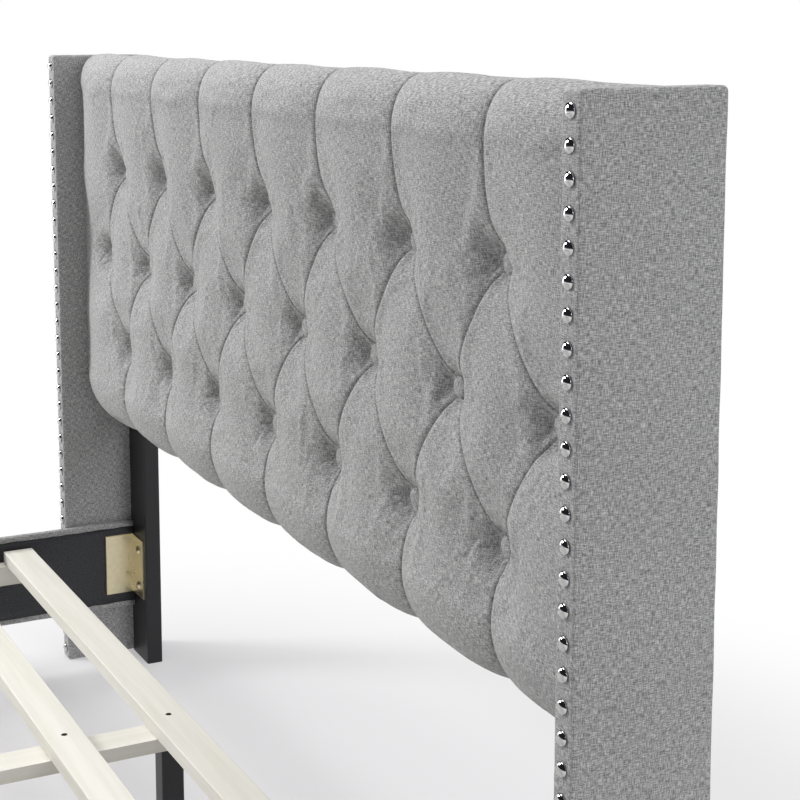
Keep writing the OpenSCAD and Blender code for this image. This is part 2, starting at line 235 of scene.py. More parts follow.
def box_coordinates(tree):
    """Two coordinates along a flat face, in metres, whichever way the face looks."""
    normal = tree.node("ShaderNodeNewGeometry").outputs["True Normal"]
    facing = tree.node("ShaderNodeSeparateXYZ", {0: normal}).outputs
    x, y, z = tree.node("ShaderNodeSeparateXYZ", {0: tree.object_place()}).outputs
    mostly = 0.7
    side = tree.math("GREATER_THAN", tree.math("ABSOLUTE", facing[X]), mostly)
    flat = tree.math("GREATER_THAN", tree.math("ABSOLUTE", facing[Z]), mostly)
    across, up = tree.blend(side, y, x), tree.blend(flat, y, z)
    return tree.node("ShaderNodeCombineXYZ", {0: across, 1: up, 2: 0.0}).outputs[0]


def cloth_coordinates(tree):
    return tree.node("ShaderNodeAttribute", attribute_name="cloth").outputs["Vector"]


def linen(name, coordinates):
    """Heathered grey linen-look weave: slubs along both threads over a fine plain weave."""
    material, tree, shader = new_material(name)
    place = coordinates(tree)
    weft = tree.noise(tree.mapping(place, (150, 1100, 1)), 1.0, 1.0, 0.5)
    warp = tree.noise(tree.mapping(place, (1100, 150, 1), location=(3.1, 7.7, 0)), 1.0, 1.0, 0.5)
    fleck = tree.noise(tree.mapping(place, (1000, 1000, 1), location=(11, 5, 0)), 1.0, 1.0, 0.6)
    heather = tree.blend(0.8, tree.blend(0.5, weft, warp), fleck)
    broad = tree.noise(tree.mapping(place, (9, 9, 1)), 1.0, 3.0, 0.55)
    tone = tree.math("ADD", heather, tree.math("MULTIPLY", tree.math("SUBTRACT", broad, 0.5), 0.03))
    colour = tree.ramp(tone, [(0.38, (0.135, 0.135, 0.137)), (0.5, (0.300, 0.301, 0.303)),
                              (0.62, (0.53, 0.53, 0.53))])
    tree.put(shader.inputs["Base Color"], colour)
    height = tree.math("ADD", heather, tree.math("MULTIPLY", fleck, 0.4))
    tree.put(shader.inputs["Normal"], tree.bump(height, 0.0006, 0.6))
    shader.inputs["Roughness"].default_value = 0.95
    shader.inputs["Specular IOR Level"].default_value = 0.15
    shader.inputs["Sheen Weight"].default_value = 0.12
    shader.inputs["Sheen Roughness"].default_value = 0.5
    return material


def non_woven(name):
    """Black lining with a small pebbled grain."""
    material, tree, shader = new_material(name)
    place = box_coordinates(tree)
    grain = tree.noise(tree.mapping(place, (380, 380, 1)), 1.0, 3.0, 0.65)
    colour = tree.ramp(grain, [(0.35, (0.008, 0.009, 0.011)), (0.65, (0.036, 0.038, 0.044))])
    tree.put(shader.inputs["Base Color"], colour)
    waves = tree.noise(tree.mapping(place, (40, 40, 1)), 1.0, 2.0, 0.5)
    height = tree.math("ADD", tree.math("MULTIPLY", grain, 0.6), waves)
    tree.put(shader.inputs["Normal"], tree.bump(height, 0.0015, 0.8))
    shader.inputs["Roughness"].default_value = 0.6
    shader.inputs["Sheen Weight"].default_value = 0.1
    return material


def timber(name, light, dark, along, grain=1.0):
    """Planed wood with its grain along one axis."""
    material, tree, shader = new_material(name)
    place = tree.object_place()
    stretch = [60.0, 60.0, 60.0]
    stretch[along] = 2.2
    rings = tree.noise(tree.mapping(place, tuple(stretch)), 1.0, 5.0, 0.6, Distortion=0.4)
    fine = [900.0, 900.0, 900.0]
    fine[along] = 18.0
    pores = tree.noise(tree.mapping(place, tuple(fine)), 1.0, 2.0, 0.6)
    tone = tree.blend(0.8, rings, pores)
    tree.put(shader.inputs["Base Color"], tree.ramp(tone, [(0.35, dark), (0.62, light)]))
    tree.put(shader.inputs["Normal"], tree.bump(pores, 0.0003, 0.3 * grain))
    shader.inputs["Roughness"].default_value = 0.62
    shader.inputs["Specular IOR Level"].default_value = 0.3
    return material


def lacquer(name):
    """Black satin lacquer, with a faint upright grain."""
    material, tree, shader = new_material(name)
    place = tree.object_place()
    grain = tree.noise(tree.mapping(place, (500, 500, 14)), 1.0, 3.0, 0.6)
    colour = tree.ramp(grain, [(0.3, (0.004, 0.0043, 0.006)), (0.7, (0.008, 0.0083, 0.011))])
    tree.put(shader.inputs["Base Color"], colour)
    tree.put(shader.inputs["Roughness"], tree.range(grain, 0.0, 1.0, 0.34, 0.5))
    tree.put(shader.inputs["Normal"], tree.bump(grain, 0.0003, 0.25))
    return material


def metal(name, colour, rough, spread=0.1, scale=90.0, blotch=0.0):
    """Plated steel: roughness and tone vary a little over the surface."""
    material, tree, shader = new_material(name)
    place = tree.object_place()
    patch = tree.noise(place, scale, 3.0, 0.6)
    other = tuple(max(0.0, c * (1 - blotch)) for c in colour)
    tree.put(shader.inputs["Base Color"], tree.ramp(patch, [(0.3, other), (0.7, colour)]))
    smoothest = max(0.02, rough - spread)
    tree.put(shader.inputs["Roughness"], tree.range(patch, 0.3, 0.7, smoothest, rough + spread))
    shader.inputs["Metallic"].default_value = 1.0
    return material


def foam_cells(name):
    """Pale, matt, small-celled: foam, and the waxed twine, which is too thin to show more."""
    material, tree, shader = new_material(name)
    place = tree.object_place()
    cells = tree.noise(place, 700.0, 2.0, 0.5)
    colour = tree.ramp(cells, [(0.3, (0.6, 0.5, 0.3)), (0.7, (0.8, 0.72, 0.5))])
    tree.put(shader.inputs["Base Color"], colour)
    tree.put(shader.inputs["Normal"], tree.bump(cells, 0.0008, 0.6))
    shader.inputs["Roughness"].default_value = 0.9
    return material


LINEN_PANEL = linen("linen_panel", cloth_coordinates)
LINEN_FLAT = linen("linen_flat", box_coordinates)
LINING = non_woven("lining")
PINE_TONES = (0.70, 0.68, 0.63), (0.62, 0.60, 0.535)
SAWN_TONES = (0.62, 0.47, 0.29), (0.45, 0.31, 0.17)
BOARD_TONES = (0.50, 0.36, 0.22), (0.36, 0.25, 0.14)
PINE_ACROSS = timber("pine_across", *PINE_TONES, along=X)
PINE_ALONG = timber("pine_along", *PINE_TONES, along=Y)
FRAME_ACROSS = timber("frame_across", *SAWN_TONES, along=X, grain=2.0)
FRAME_UP = timber("frame_up", *SAWN_TONES, along=Z, grain=2.0)
BOARD = timber("board", *BOARD_TONES, along=Y, grain=2.0)
LACQUER = lacquer("black_lacquer")
CHROME = metal("chrome", (0.60, 0.60, 0.61), 0.05, 0.03, 400.0, 0.03)
YELLOW_ZINC = metal("yellow_zinc", (0.80, 0.72, 0.50), 0.34, 0.1, 60.0, 0.16)
BRIGHT_ZINC = metal("bright_zinc", (0.66, 0.67, 0.68), 0.3, 0.08, 90.0, 0.1)
DARK_SCREW = metal("dark_screw", (0.10, 0.09, 0.08), 0.4, 0.1, 300.0, 0.3)
FOAM = foam_cells("foam")
TWINE = foam_cells("twine")


# ---------------------------------------------------------------- stage, light and camera

def make_floor():
    """A pale floor: softly shaded under the bed, and white beyond it."""
    mesh = bpy.data.meshes.new("floor")
    half = 4.5
    corners = [(-half, -half, 0), (half, -half, 0), (half, half, 0), (-half, half, 0)]
    mesh.from_pydata(corners, [], [(0, 1, 2, 3)])
    floor = link("floor", mesh)
    material, tree, shader = new_material("floor")
    shader.inputs["Base Color"].default_value = (0.77, 0.765, 0.77, 1)
    shader.inputs["Roughness"].default_value = 0.85
    shader.inputs["Specular IOR Level"].default_value = 0.2
    haze = tree.node("ShaderNodeEmission", {"Color": (0.70, 0.69, 0.71, 1), "Strength": 1.0})
    haze_share, oval, middle = 0.45, (1.0, 0.73, 1.0), (0.1, -0.22, 0.0)
    shaded_within, white_beyond = 1.2, 1.9
    near = tree.node("ShaderNodeMixShader", {0: haze_share, 1: shader.outputs[0], 2: haze.outputs[0]})
    place = tree.mapping(tree.object_place(), oval)
    away = tree.node("ShaderNodeVectorMath", {0: place, 1: middle}, operation="DISTANCE")
    limits = {0: away.outputs["Value"], 1: shaded_within, 2: white_beyond, 3: 0.0, 4: 1.0}
    fade = tree.node("ShaderNodeMapRange", limits, interpolation_type="SMOOTHSTEP")
    white = tree.node("ShaderNodeEmission", {"Color": (1, 1, 1, 1), "Strength": 1.0})
    mix = tree.node("ShaderNodeMixShader", {0: fade.outputs[0], 1: near.outputs[0], 2: white.outputs[0]})
    out = next(n for n in tree.nodes if n.type == "OUTPUT_MATERIAL")
    tree.tree.links.new(mix.outputs[0], out.inputs[0])
    mesh.materials.append(material)


def make_world():
    """White behind the bed, a soft sky for its light, and a dark room for its polished parts to mirror."""
    world = bpy.data.worlds.new("studio")
    world.use_nodes = True
    bpy.context.scene.world = world
    tree = Tree(world.node_tree)
    seen = tree.node("ShaderNodeBackground", {"Color": (1, 1, 1, 1), "Strength": 1.0})
    direction = tree.node("ShaderNodeTexCoord").outputs["Generated"]
    up = tree.node("ShaderNodeSeparateXYZ", {0: direction}).outputs[2]
    sky = tree.ramp(tree.range(up, -0.2, 1.0, 0.0, 1.0),
                    [(0.0, (0.35, 0.35, 0.35)), (0.35, (0.6, 0.6, 0.6)), (1.0, (0.85, 0.85, 0.85))])
    lit = tree.node("ShaderNodeBackground", {"Color": sky, "Strength": 0.53})
    room = tree.ramp(tree.range(up, -0.25, -0.02, 0.0, 1.0),
                     [(0.0, (0.6, 0.6, 0.6)), (1.0, (0.02, 0.02, 0.024))])
    mirrored = tree.node("ShaderNodeBackground", {"Color": room, "Strength": 1.0})
    ray = tree.node("ShaderNodeLightPath").outputs
    mix = tree.node("ShaderNodeMixShader",
                    {0: ray["Is Glossy Ray"], 1: lit.outputs[0], 2: mirrored.outputs[0]})
    mix = tree.node("ShaderNodeMixShader",
                    {0: ray["Is Camera Ray"], 1: mix.outputs[0], 2: seen.outputs[0]})
    out = tree.node("ShaderNodeOutputWorld")
    tree.tree.links.new(mix.outputs[0], out.inputs[0])


def area_light(name, place, target, size, power):
    data = bpy.data.lights.new(name, "AREA")
    data.shape = "RECTANGLE"
    data.size, data.size_y = size
    data.energy = power
    light = link(name, data)
    light.location = place
    light.rotation_mode = "QUATERNION"
    light.rotation_quaternion = (Vector(target) - Vector(place)).to_track_quat("-Z", "Y")


def make_camera():
    """Eye level just above the headboard, beside its right wing, looking across to the far wing."""
    data = bpy.data.cameras.new("camera")
    data.sensor_width = 36.0
    data.lens = 75.45
    data.shift_y = -0.2
    data.clip_end = 200.0
    camera = link("camera", data)
    looks_down, turned = 7.4, 62.87
    camera.location = (1.9991, HEAD_Y - 0.9283, 1.1149)
    camera.rotation_euler = (math.radians(90 - looks_down), 0, math.radians(turned))
    bpy.context.scene.camera = camera


make_camera()
make_floor()
make_world()
area_light("key", (-2.8, -2.4, 3.0), (0, 0.9, 0.7), (1.2, 1.2), 166)
area_light("low", (-2.4, -0.5, 1.2), (0.8, 0.9, 0.7), (1.4, 2.0), 20)
area_light("top", (-0.5, 0.9, 4.2), (0, 0.9, 0.4), (2.2, 2.2), 98)
area_light("side", (4.6, 2.2, 2.2), (0, 0.9, 0.6), (1.4, 1.8), 67)
bpy.context.scene.view_settings.view_transform = "Standard"


# ---------------------------------------------------------------- tufted headboard cover

PANEL_LOW, PANEL_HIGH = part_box("headboard_cover")
BACK = HEAD_Y - PANEL_HIGH.y                # depth of the cover's back edge from the wings' backs
LOW_Z, TOP_Z = PANEL_LOW.z, PANEL_HIGH.z
HALF_W = PANEL_HIGH.x
COLS = 8
PITCH = 2 * INNER_X / COLS
BUTTON_LOW, BUTTON_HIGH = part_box("tuft_buttons")
BUTTON_R = 12 * MM
BUTTON_RISE = BUTTON_HIGH.y - BUTTON_LOW.y
WELL_R = BUTTON_R + 2.4 * MM                # the cloth lies flat under a button out to here
RIM = 2.2 * MM                              # and turns down within this distance of it
ROW_TOP = BUTTON_HIGH.z - BUTTON_R
ROW_LOW = BUTTON_LOW.z + BUTTON_R
ROW_GAP = (ROW_TOP - ROW_LOW) / 2
SEAT = HEAD_Y - BUTTON_HIGH.y               # depth at which a button's back lies
STEPS = 32                                  # grid steps across half a column, and down a row

# How the cloth lies between its buttons
TOP_PULL = (15 * MM, 44 * MM)               # how deep and how far a top button draws its seams in
LOW_PULL = (10 * MM, 36 * MM)               # the same for the rows below
PULL_START = 13 * MM                        # distance from a button at which that depth holds
RIM_SINK, TOP_SINK = 12 * MM, 5 * MM        # depth of the cloth round a button; the top row's extra
SIDE_DEPTH, SIDE_SINK = 100 * MM, 4 * MM    # how the panel's ends draw back to meet the wings
FULL_MIDDLE = 28 * MM                       # fullness of the diamonds
FULL_TOP, FULL_LOW = 21 * MM, 22 * MM       # and of the pillows above and below them
PILLOW_POWER = 0.65                         # below 1, pillows rise steeply from their seams
POCKET, POCKET_REACH = 17 * MM, 19 * MM     # the hollow round a button
FLAT_REACH = 34 * MM                        # and how far it keeps the pillows from rising
SEAM_GROOVE = 4.2 * MM
PULL_LINES = ((5, 0.5), (8, 0.8), (13, 0.55), (19, 0.3))   # creases round a button: number, strength


def face_depth(z):
    """Depth of the panel's face at its seams: fuller above the top row of buttons."""
    return (104 + 10 * smoothstep(ROW_TOP - 100 * MM, ROW_TOP + 30 * MM, z)) * MM


def side_outline():
    """The panel's side at seam level, from its top back edge over the face to its bottom back edge."""
    high_d, high_z, low_d, low_z = 34 * MM, 55 * MM, 60 * MM, 80 * MM
    top_d, foot_d = face_depth(TOP_Z), face_depth(LOW_Z)
    top_z = TOP_Z - 3 * MM
    over = [(BACK + t * (top_d - high_d - BACK), top_z) for t in np.linspace(0, 1, 20, endpoint=False)]
    turn = np.radians(np.linspace(90, 0, 40, endpoint=False))
    over += [(top_d - high_d + high_d * math.cos(a), top_z - high_z + high_z * math.sin(a))
             for a in turn]
    face = [(face_depth(z), z)
            for z in np.linspace(top_z - high_z, LOW_Z + low_z, 300, endpoint=False)]
    turn = np.radians(np.linspace(0, -90, 60, endpoint=False))
    under = [(foot_d - low_d + low_d * math.cos(a), LOW_Z + low_z + low_z * math.sin(a))
             for a in turn]
    under += [(BACK + t * (foot_d - low_d - BACK), LOW_Z) for t in np.linspace(1, 0, 12)]
    points = np.array(over + face + under)
    length = np.concatenate([[0], np.cumsum(np.linalg.norm(np.diff(points, axis=0), axis=1))])
    return points, length


def relax(values, fixed, load, step_x, step_s, rounds=300, over=1.93):
    """Shape of a skin under an even load, held where fixed is true, by red-black over-relaxation."""
    wx, ws = 1 / step_x**2, 1 / step_s**2
    colour = np.indices(values.shape).sum(0) % 2
    free = [~fixed & (colour == k) for k in (0, 1)]
    for _ in range(rounds):
        for mask in free:
            near = wx * (np.roll(values, 1, 1) + np.roll(values, -1, 1))
            near += ws * (np.roll(values, 1, 0) + np.roll(values, -1, 0))
            values[mask] += over * ((near + load) / (2 * wx + 2 * ws) - values)[mask]
    return values


class Panel:
    """The tufted face as a grid: rows follow the side outline, columns run from wing to wing."""

    def __init__(self):
        points, length = side_outline()
        self.steps = steps = STEPS
        marks = np.interp([-ROW_TOP, -(ROW_TOP + ROW_LOW) / 2, -ROW_LOW], -points[:, 1], length)
        step = (marks[2] - marks[0]) / (2 * steps)
        above, below = round(marks[0] / step), round((length[-1] - marks[2]) / step)
        self.s = np.concatenate([np.linspace(0, marks[0], above, endpoint=False),
                                 np.linspace(marks[0], marks[2], 2 * steps, endpoint=False),
                                 np.linspace(marks[2], length[-1], below + 1)])
        self.x = np.linspace(-HALF_W, HALF_W, 2 * COLS * steps + 1)
        self.rows, self.cols = len(self.s), len(self.x)
        self.base_d = np.interp(self.s, length, points[:, 0])
        self.base_z = np.interp(self.s, length, points[:, 1])
        along = np.stack([np.gradient(self.base_d), np.gradient(self.base_z)], 1)
        along /= np.linalg.norm(along, axis=1)[:, None]
        self.out_d, self.out_z = -along[:, 1], along[:, 0]
        self.row_marks = [above, above + steps, above + 2 * steps]
        self.middle = COLS * steps
        self.grid_s, self.grid_x = np.meshgrid(self.s, self.x, indexing="ij")
        self.buttons = [(row, self.middle + (2 * i + k % 2) * steps)
                        for k, row in enumerate(self.row_marks)
                        for i in range(-COLS // 2 + (1 - k % 2), COLS // 2)]
        self.seams = self.seam_mask()
        away = self.nearest_button()
        self.well, self.rim = away < WELL_R, away < WELL_R + RIM
        self.border = np.zeros_like(self.seams)
        self.border[[0, -1], :] = self.border[:, [0, -1]] = True
        self.held = self.seams | self.border | self.rim

    def seam_mask(self):
        """True along the upright seams above and below the buttons and the slanted ones between them."""
        seam = np.zeros((self.rows, self.cols), bool)
        first, second, third = self.row_marks
        for i in range(-COLS // 2 + 1, COLS // 2):
            column = self.middle + 2 * i * self.steps
            seam[: first + 1, column] = True
            seam[third:, column] = True
        for row, column in self.buttons:
            if row != second:
                continue
            last = abs(column - self.middle) == (COLS - 1) * self.steps
            for way in (-1, 1):
                if last and way * (column - self.middle) > 0:
                    continue
                for t in range(self.steps + 1):
                    seam[row - t, column + way * t] = seam[row + t, column + way * t] = True
        return seam

    def from_buttons(self):
        """Distance and direction to each button: across and up along the cloth."""
        for row, column in self.buttons:
            across, up = self.grid_x - self.x[column], self.s[row] - self.grid_s
            yield row, np.hypot(across, up), across, up

    def nearest_button(self):
        return np.minimum.reduce([away for _, away, _, _ in self.from_buttons()])

    def closeness(self, reach):
        """1 at the edge of a button, falling off over the given reach; smooth between buttons."""
        left = np.ones_like(self.grid_x)
        for _, away, _, _ in self.from_buttons():
            left *= 1 - np.exp(-np.maximum(away - BUTTON_R, 0.01 * MM) / reach)
        return 1 - left

    def held_level(self):
        """How far off the side outline the buttons, seams and edges hold the cloth."""
        pull = np.zeros_like(self.grid_x)
        for row, away, _, _ in self.from_buttons():
            depth, reach = TOP_PULL if row == self.row_marks[0] else LOW_PULL
            pull = np.maximum(pull, depth * np.exp(-(away - PULL_START) / reach))
        level = np.where(self.seams & ~self.well, -pull, 0.0)
        back, down = np.maximum(self.base_d - SIDE_DEPTH, 0), SIDE_SINK
        level[:, 0] = level[:, -1] = -(back * np.abs(self.out_d) + down * np.abs(self.out_z))
        between = ROW_TOP - ROW_GAP / 2
        upper = smoothstep(between - 1 * MM, between + 1 * MM, self.base_z)[:, None]
        return np.where(self.rim & ~self.border, -(RIM_SINK + TOP_SINK * upper), level)

    def fullness(self):
        high = smoothstep(ROW_TOP - 60 * MM, ROW_TOP + 30 * MM, self.base_z)[:, None]
        low = 1 - smoothstep(ROW_LOW - 30 * MM, ROW_LOW + 60 * MM, self.base_z)[:, None]
        return FULL_MIDDLE * (1 - high) * (1 - low) + FULL_TOP * high + FULL_LOW * low

    def offsets(self):
        """How far the cloth stands off the side outline, at each grid point."""
        step_x = self.x[1] - self.x[0]
        step_s = self.s[self.row_marks[1]] - self.s[self.row_marks[1] - 1]
        level = relax(self.held_level(), self.held, 0.0, step_x, step_s)
        puff = relax(np.zeros_like(level), self.held, 1.0, step_x, step_s)
        puff = np.maximum(puff, 0) / (0.5 * (PITCH / 2) ** 2)
        rise = self.fullness() * puff**PILLOW_POWER * (1 - 0.8 * self.closeness(FLAT_REACH))
        pocket = POCKET * self.closeness(POCKET_REACH) * (0.7 + 0.3 * smoothstep(0, 0.06, puff))
        offset = level + rise - pocket + self.creases() * smoothstep(0, 0.05, puff)
        offset = np.where(self.seams & ~self.rim, offset - SEAM_GROOVE, offset)
        under_button = -(self.base_d - SEAT + 2.5 * MM)[:, None]
        offset = np.where(self.well, under_button, offset)
        grip = smoothstep(0, 16 * MM, self.s) * smoothstep(0, 40 * MM, self.s[-1] - self.s)
        return offset * ((0.35 + 0.65 * grip) * (1 - 0.4 * np.maximum(self.out_z, 0)))[:, None]

    def creases(self):
        """Pull lines that run out from each button, a fold to each side of it, and a broad unevenness."""
        rng = np.random.default_rng(7)
        ray, fold, broad = (np.zeros_like(self.grid_x) for _ in range(3))
        for row, away, across, up in self.from_buttons():
            angle = np.arctan2(up, across)
            beyond = np.maximum(away - BUTTON_R, 0)
            fade = np.exp(-beyond / (24 * MM)) * smoothstep(0, 12 * MM, beyond)
            for count, size in PULL_LINES:
                phase, amount = rng.uniform(0, 2 * math.pi), rng.uniform(0.4, 1.0)
                ray += size * amount * np.cos(count * angle + phase) * fade
            lift, depth = rng.uniform(-3, 2) * MM, 1.2 if row == self.row_marks[-1] else 5.5
            side = np.exp(-np.maximum(np.abs(across) - WELL_R, 0) / (28 * MM))
            side *= smoothstep(WELL_R, WELL_R + 6 * MM, np.abs(across))
            fold += depth * side * np.exp(-np.hypot(up - lift, 1.5 * MM) / (8 * MM))
        for _ in range(26):
            kx, ks = rng.uniform(8, 60, 2)
            phase = rng.uniform(0, 2 * math.pi, 2)
            broad += np.cos(kx * self.grid_x + phase[0]) * np.cos(ks * self.grid_s + phase[1])
        return (1.1 * ray - fold + 0.16 * broad) * MM

    def points(self, offset):
        depth = self.base_d[:, None] + self.out_d[:, None] * offset
        up = self.base_z[:, None] + self.out_z[:, None] * offset
        return np.stack([self.grid_x, HEAD_Y - depth, up], -1)

    def triangles(self):
        """Each grid square is cut along the diagonal that a seam could follow."""
        quads = grid_faces(self.rows, self.cols)
        r, c = np.indices((self.rows - 1, self.cols - 1)).reshape(2, -1)
        block = (r - self.row_marks[0]) // self.steps + (c - self.middle) // self.steps
        a, b, d, e = quads.T
        down = (block % 2 == 0)[:, None]
        one = np.where(down, np.stack([a, b, d], 1), np.stack([a, b, e], 1))
        two = np.where(down, np.stack([a, d, e], 1), np.stack([b, d, e], 1))
        return np.concatenate([one, two])


def settle(points, faces, held, frames=10, pressure=8.0, slack=0.002, cap=4 * MM):
    """Lets the cloth find its own folds between the points that buttons, seams and edges hold."""
    mesh = make_mesh("settling", points, faces)
    trial = link("settling", mesh)
    group = trial.vertex_groups.new(name="held")
    group.add([int(i) for i in np.flatnonzero(held)], 1.0, "REPLACE")
    cloth = trial.modifiers.new("cloth", "CLOTH")
    cloth.settings.quality = 4
    cloth.settings.mass = 0.2
    cloth.settings.tension_stiffness = cloth.settings.compression_stiffness = 25
    cloth.settings.shear_stiffness = 12
    cloth.settings.bending_stiffness = 2.0
    cloth.settings.air_damping = 4
    cloth.settings.shrink_min = -slack
    cloth.settings.vertex_group_mass = "held"
    cloth.settings.pin_stiffness = 5
    cloth.settings.use_pressure = True
    cloth.settings.uniform_pressure_force = pressure
    cloth.settings.effector_weights.gravity = 0
    cloth.collision_settings.use_collision = False
    cloth.point_cache.frame_start, cloth.point_cache.frame_end = 1, frames
    scene = bpy.context.scene
    for frame_number in range(1, frames + 1):
        scene.frame_set(frame_number)
    shaped = trial.evaluated_get(bpy.context.evaluated_depsgraph_get())
    move = read_points(shaped.data) - points
    bpy.data.objects.remove(trial)
    bpy.data.meshes.remove(mesh)
    scene.frame_set(1)
    far = np.maximum(np.linalg.norm(move, axis=1) / cap, 1.0)
    return points + move / far[:, None]


def make_headboard_cover(panel, offset):
    points = panel.points(offset).reshape(-1, 3)
    points = settle(points, panel.triangles(), panel.held.ravel())
    mesh = make_mesh("headboard_tufting", points, panel.triangles())
    flat = np.stack([panel.grid_x, panel.grid_s, np.zeros_like(panel.grid_x)], -1)
    add_vector(mesh, "cloth", flat.reshape(-1, 3))
    mark_seams(mesh, panel.seams.ravel())
    cover = link("headboard_tufting", mesh)
    thicken(cover, 2 * MM)
    piece(cover, LINEN_PANEL, ["headboard_cover"])


def headboard_foam(panel, offset, keep=4, skin=3.2 * MM):
    """The foam under the cover, shaped by the same buttons and seams, flat where it lies on its board."""
    board_d = HEAD_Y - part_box("headboard_board")[0].y
    inner = offset - skin
    for axis in (0, 1):
        inner = np.minimum.reduce([np.roll(inner, k, axis) for k in range(-keep, keep + 1)])
    front = panel.points(inner)
    rows = np.arange(panel.rows)[::keep]
    cols = np.arange(panel.cols)[keep::keep][:-1]
    front = front[np.ix_(rows, cols)]
    front[..., 1] = np.minimum(front[..., 1], HEAD_Y - board_d - 1 * MM)
    front[..., 2] = np.clip(front[..., 2], LOW_Z + 3 * MM, None)
    back = front.copy()
    back[..., 1] = HEAD_Y - board_d - 0.3 * MM
    height, width = front.shape[:2]
    faces, count = grid_faces(height, width), height * width
    edge = np.concatenate([np.arange(width), np.arange(1, height) * width + width - 1,
                           (height - 1) * width + np.arange(width - 2, -1, -1),
                           np.arange(height - 2, 0, -1) * width])
    after = np.roll(edge, -1)
    wall = np.stack([edge, edge + count, after + count, after], 1)
    verts = np.concatenate([front.reshape(-1, 3), back.reshape(-1, 3)])
    mesh = make_mesh("foam_core", verts, np.concatenate([faces, faces[:, ::-1] + count, wall]))
    foam = link("foam_core", mesh)
    piece(foam, FOAM, ["headboard_foam"])


def lathe(profile, segments):
    """A turned shape about Z; profile is radius and height, from the rim to the crown."""
    angles = np.linspace(0, 2 * math.pi, segments, endpoint=False)
    rings = [np.stack([r * np.cos(angles), r * np.sin(angles), np.full(segments, h)], -1)
             for r, h in profile]
    verts = np.concatenate(rings + [[[0, 0, profile[-1][1]]]])
    faces = grid_faces(len(profile), segments, wrap=True)
    last = (len(profile) - 1) * segments
    ring = np.arange(segments)
    crown = np.stack([last + ring, last + (ring + 1) % segments, np.full(segments, len(verts) - 1)], 1)
    return verts, faces, crown


def dome(radius, rise, steps=7):
    """Profile of a domed head with a short upright rim."""
    bend = np.radians(np.linspace(0, 84, steps))
    rim = 0.12 * rise
    curve = [(radius * math.cos(a), rim + (rise - rim) * math.sin(a)) for a in bend]
    return [(radius * 0.96, 0.0)] + curve


def many(name, shape, places):
    """One mesh holding a copy of the shape at each place (a 4 by 4 matrix)."""
    verts, quads, tris = shape
    count = len(verts)
    flat = np.concatenate([verts, np.ones((count, 1))], 1)
    all_verts = np.concatenate([(np.asarray(m) @ flat.T).T[:, :3] for m in places])
    all_quads = np.concatenate([quads + i * count for i in range(len(places))])
    all_tris = np.concatenate([tris + i * count for i in range(len(places))])
    return link(name, make_mesh(name, all_verts, all_quads, all_tris))


Z_TO_FOOT = Matrix.Rotation(math.radians(90), 4, "X")      # turns +Z to -Y, towards the foot


def make_buttons(panel):
    """Covered buttons: domed, each tipped a little its own way by its twine."""
    rng = np.random.default_rng(3)
    shape = lathe(dome(BUTTON_R, BUTTON_RISE, 9), 36)
    places = []
    for row, column in panel.buttons:
        spin = Matrix.Rotation(rng.uniform(-0.5, 0.5), 4, "Y")
        place = Vector((panel.x[column], HEAD_Y - SEAT - 0.8 * MM, panel.base_z[row]))
        lean = Euler((rng.uniform(-0.08, 0.08), 0, rng.uniform(-0.08, 0.08))).to_matrix().to_4x4()
        places.append(Matrix.Translation(place) @ lean @ spin @ Z_TO_FOOT)
    buttons = many("buttons", shape, places)
    piece(buttons, LINEN_FLAT, ["tuft_buttons"])


def build_headboard():
    panel = Panel()
    offset = panel.offsets()
    make_headboard_cover(panel, offset)
    headboard_foam(panel, offset)
    make_buttons(panel)


build_headboard()


# ---------------------------------------------------------------- wings

def outline_loop(half_a, half_b, corner, counts):
    """Points of a rounded rectangle, the same number of points for any size."""
    per_a, per_b, per_c = counts
    corner = max(min(corner, half_a * 0.98, half_b * 0.98), 0.2 * MM)
    a, b = half_a - corner, half_b - corner
    centres = np.array([(a, b), (-a, b), (-a, -b), (a, -b)])
    points = []
    for k, centre in enumerate(centres):
        turn, side = 90 * k, per_a if k % 2 == 0 else per_b
        for t in np.radians(np.linspace(turn, turn + 90, per_c, endpoint=False)):
            points.append(centre + corner * np.array((math.cos(t), math.sin(t))))
        out = np.radians(turn + 90)
        start = centre + corner * np.array((math.cos(out), math.sin(out)))
        for t in np.linspace(0, 1, side, endpoint=False):
            points.append(start + t * (centres[(k + 1) % 4] - centre))
    return np.array(points)


